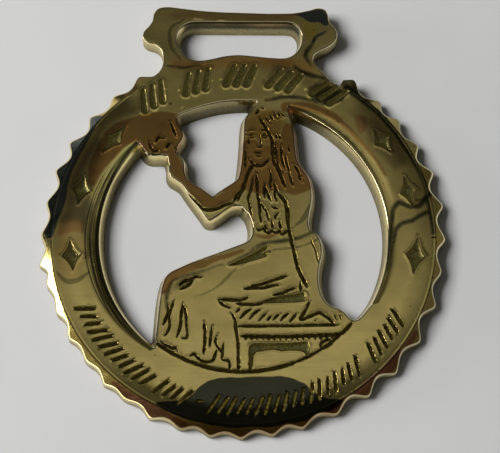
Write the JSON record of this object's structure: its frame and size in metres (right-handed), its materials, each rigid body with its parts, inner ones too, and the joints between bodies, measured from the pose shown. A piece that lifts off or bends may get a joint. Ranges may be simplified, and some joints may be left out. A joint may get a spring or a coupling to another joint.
{
  "type": "horse brass",
  "caption": "Round openwork brass ornament with a scalloped rim, a seated maiden in the middle and a strap hanger on top, lying flat on its back.",
  "frame": {"origin": "middle of the outline, on the flat back that the brass lies on", "axes": "+Z out of the polished face, +Y towards the strap hanger, +X to the maiden's back (right as seen from the front)"},
  "size_m": [0.08, 0.0892, 0.0044],
  "materials": {
    "polished_brass": "worn polished brass, olive and brown with age in the recesses"
  },
  "bodies": {
    "root": {"horse_brass": "polished_brass"}
  },
  "joints": []
}
